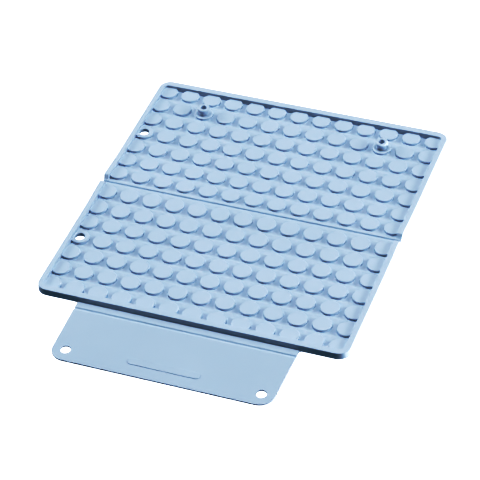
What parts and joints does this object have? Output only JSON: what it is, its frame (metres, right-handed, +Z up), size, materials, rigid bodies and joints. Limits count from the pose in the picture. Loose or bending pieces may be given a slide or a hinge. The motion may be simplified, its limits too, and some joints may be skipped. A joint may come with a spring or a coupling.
{
  "type": "fold-up silicone heat mat",
  "caption": "Rectangular silicone mat with round bumps and a raised rim, folding at a centre crease, with a closure flap that has snap holes, two snap studs and two hang holes.",
  "frame": {"origin": "middle of the opened mat's bounding box, on its underside", "axes": "+X along the crease to the right, +Y to the rear edge, away from the closure flap, +Z up out of the bumped face"},
  "size_m": [0.2264, 0.3032, 0.0087],
  "materials": {
    "silicone": "satin, pale blue moulded silicone"
  },
  "bodies": {
    "rear_panel": {"rear_panel_sheet": "silicone", "rear_hinge_web": "silicone", "rear_end_rim": "silicone", "rear_left_rim": "silicone", "rear_left_corner_rim": "silicone", "rear_right_rim": "silicone", "rear_right_corner_rim": "silicone", "rear_hanging_eyelet": "silicone", "left_snap_stud": "silicone", "right_snap_stud": "silicone"},
    "front_panel": {"front_panel_sheet": "silicone", "front_hinge_web": "silicone", "front_end_rim": "silicone", "front_left_rim": "silicone", "front_left_corner_rim": "silicone", "front_right_rim": "silicone", "front_right_corner_rim": "silicone", "front_hanging_eyelet": "silicone"},
    "flap_spine": {"flap_spine_strip": "silicone"},
    "flap": {"closure_flap": "silicone"}
  },
  "joints": [
    {"name": "centre_fold", "type": "hinge", "parent": "rear_panel", "child": "front_panel", "pos_m": [0, 0.0285, -0.00015], "axis": [1, 0, 0], "range_deg": [0, 180], "stiffness_Nm_per_rad": 0.005},
    {"name": "flap_root_fold", "type": "hinge", "parent": "front_panel", "child": "flap_spine", "pos_m": [0, -0.0948, -0.00015], "axis": [1, 0, 0], "range_deg": [0, 90], "stiffness_Nm_per_rad": 0.004},
    {"name": "flap_fold", "type": "hinge", "parent": "flap_spine", "child": "flap", "pos_m": [0, -0.10115, -0.00015], "axis": [1, 0, 0], "range_deg": [0, 80], "stiffness_Nm_per_rad": 0.004}
  ]
}
